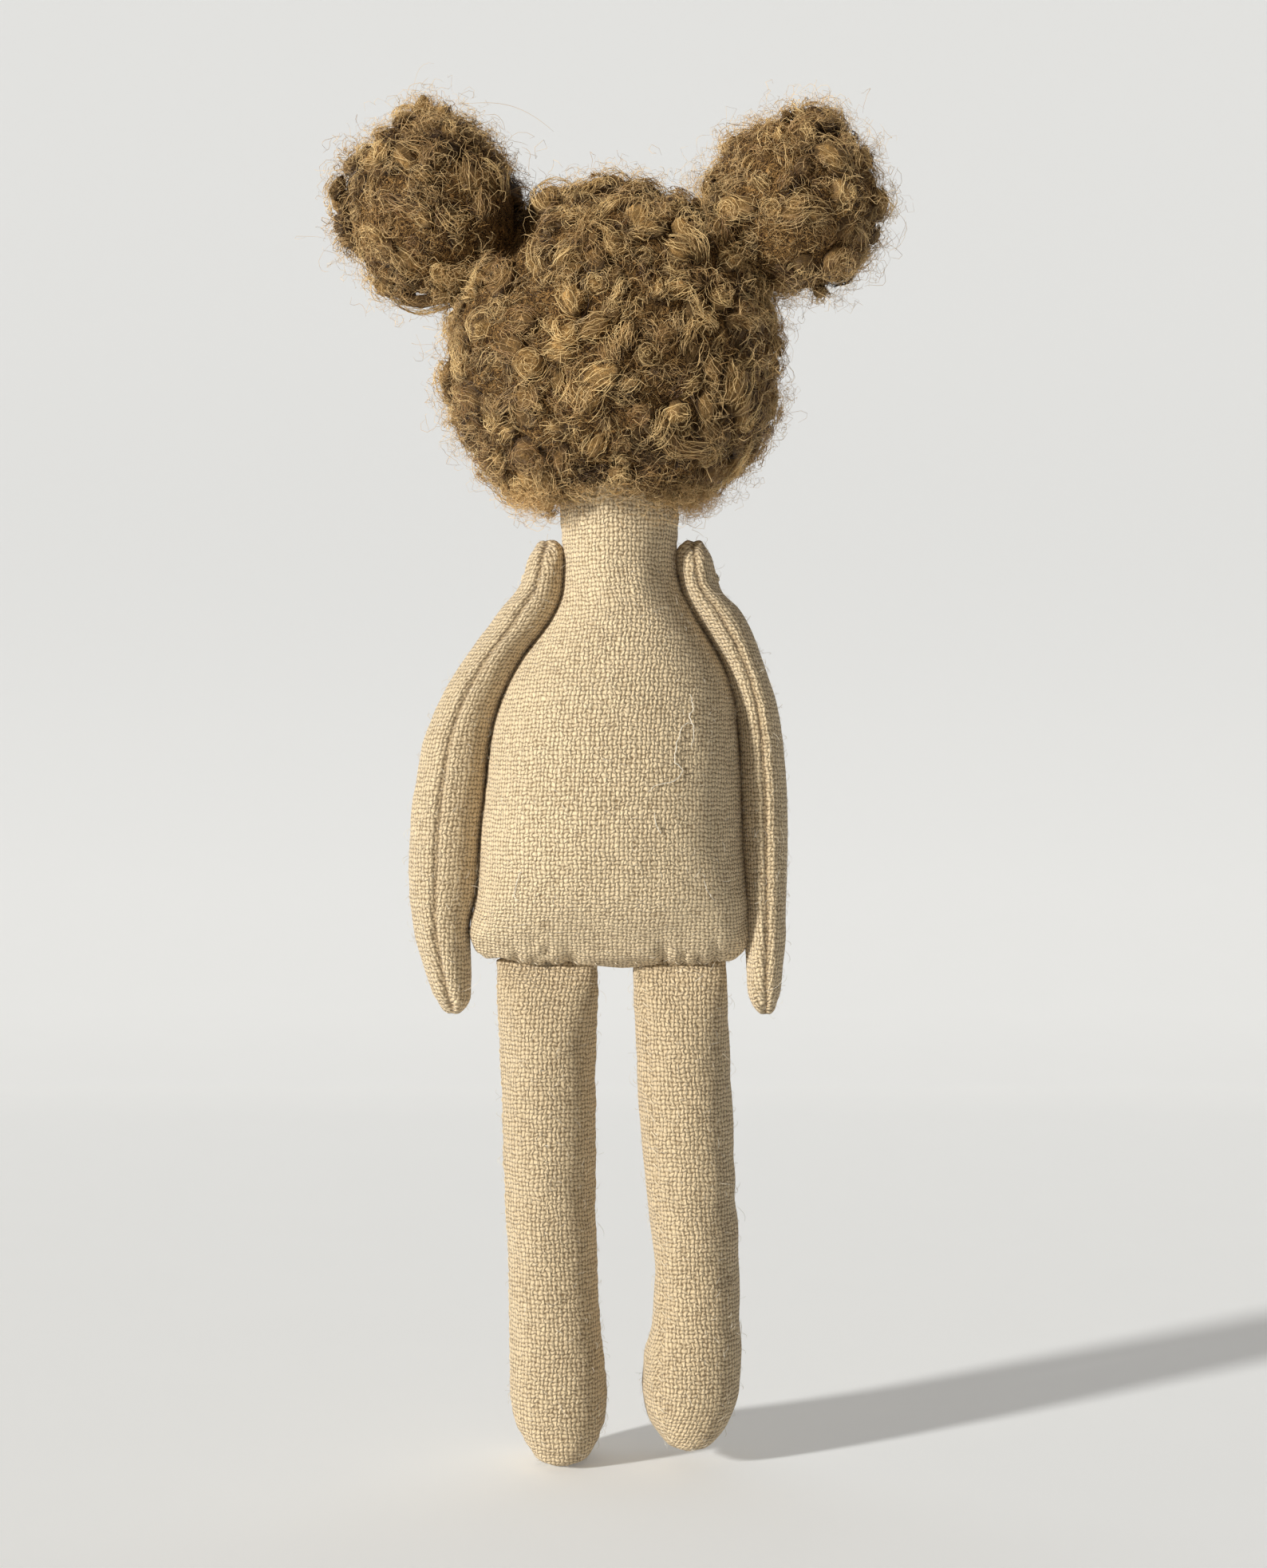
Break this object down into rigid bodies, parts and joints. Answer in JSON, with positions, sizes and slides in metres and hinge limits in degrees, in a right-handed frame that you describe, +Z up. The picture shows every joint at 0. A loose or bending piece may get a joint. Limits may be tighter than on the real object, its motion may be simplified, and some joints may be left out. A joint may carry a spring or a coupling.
{
  "type": "waldorf doll",
  "caption": "Small stuffed linen doll with curly wool hair gathered into buns, arms on a shoulder thread and legs sewn into the hem.",
  "frame": {"origin": "on the body's centre line at the waist, where the clip of a doll stand holds it", "axes": "+Z up along the body, the doll faces -Y, and its own left side is at +X"},
  "size_m": [0.0635, 0.0364, 0.1589],
  "materials": {
    "linen": "plain weave, undyed",
    "wool_filling": "carded wool",
    "curly_hair": "curly wool locks",
    "sewing_thread": "cotton thread",
    "eye_thread": "embroidery thread",
    "mouth_thread": "embroidery thread"
  },
  "bodies": {
    "torso": {"body_back_panel": "linen", "body_front_panel": "linen", "body_filling": "wool_filling", "head_back_panel": "linen", "face_panel": "linen", "head_filling": "wool_filling", "neck_stitches": "sewing_thread", "left_eye_knot": "eye_thread", "right_eye_knot": "eye_thread", "mouth_stitch": "mouth_thread", "hair_cap": "curly_hair", "hairline_stitches": "sewing_thread", "left_bun": "curly_hair", "right_bun": "curly_hair", "left_bun_tie": "sewing_thread", "right_bun_tie": "sewing_thread", "shoulder_thread": "sewing_thread", "hem_thread": "sewing_thread"},
    "left_arm": {"left_arm_outer_panel": "linen", "left_arm_inner_panel": "linen", "left_arm_filling": "wool_filling"},
    "right_arm": {"right_arm_outer_panel": "linen", "right_arm_inner_panel": "linen", "right_arm_filling": "wool_filling"},
    "left_leg": {"left_leg_back_panel": "linen", "left_leg_front_panel": "linen", "left_leg_filling": "wool_filling", "left_leg_top_roll": "linen"},
    "right_leg": {"right_leg_back_panel": "linen", "right_leg_front_panel": "linen", "right_leg_filling": "wool_filling", "right_leg_top_roll": "linen"}
  },
  "joints": [
    {"name": "left_shoulder", "type": "hinge", "parent": "torso", "child": "left_arm", "pos_m": [0.00746, 0, 0.027], "axis": [-1, 0, 0], "range_deg": [-60, 115]},
    {"name": "right_shoulder", "type": "hinge", "parent": "torso", "child": "right_arm", "pos_m": [-0.00746, 0, 0.027], "axis": [-1, 0, 0], "range_deg": [-60, 115]},
    {"name": "left_hip", "type": "hinge", "parent": "torso", "child": "left_leg", "pos_m": [0.0082, 0, -0.0207], "axis": [-1, 0, 0], "range_deg": [-25, 90]},
    {"name": "right_hip", "type": "hinge", "parent": "torso", "child": "right_leg", "pos_m": [-0.0078, 0, -0.0207], "axis": [-1, 0, 0], "range_deg": [-25, 90]}
  ]
}
